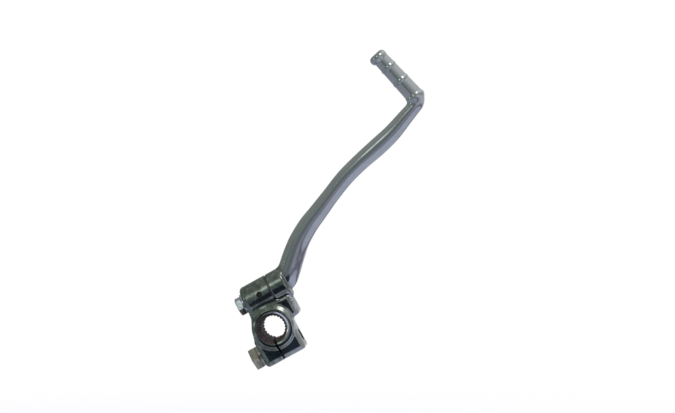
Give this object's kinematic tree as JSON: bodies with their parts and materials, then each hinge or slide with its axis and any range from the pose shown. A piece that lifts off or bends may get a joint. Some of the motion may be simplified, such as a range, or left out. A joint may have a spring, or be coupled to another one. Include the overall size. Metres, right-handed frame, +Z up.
{
  "type": "kick start lever",
  "caption": "Folding kick start lever: a splined clamp for the kick shaft carries a curved arm that turns in it and ends in a foot peg.",
  "frame": {"origin": "centre of the splined shaft bore, in the lever's middle plane", "axes": "+Y along the bore towards the engine, +Z up, +X to the side the arm leans to in the lever's swing plane"},
  "size_m": [0.153, 0.027, 0.2585],
  "materials": {
    "chrome": "bright chrome plate on forged steel",
    "bolt_steel": "bright zinc plate",
    "olive_steel": "dull olive zinc plate"
  },
  "bodies": {
    "knuckle": {"knuckle": "chrome", "thrust_washer": "bolt_steel", "stop_pin": "bolt_steel", "detent_ball": "bolt_steel", "detent_spring": "bolt_steel", "detent_plug": "bolt_steel", "pinch_bolt": "olive_steel", "pinch_lock_washer": "olive_steel"},
    "arm": {"arm": "chrome", "pivot_bolt": "bolt_steel", "pivot_washer": "bolt_steel"}
  },
  "joints": [
    {"name": "arm_fold", "type": "hinge", "parent": "knuckle", "child": "arm", "pos_m": [-0.01317, 0, 0.02357], "axis": [0.8729, 0, 0.4879], "range_deg": [0, 90]}
  ]
}
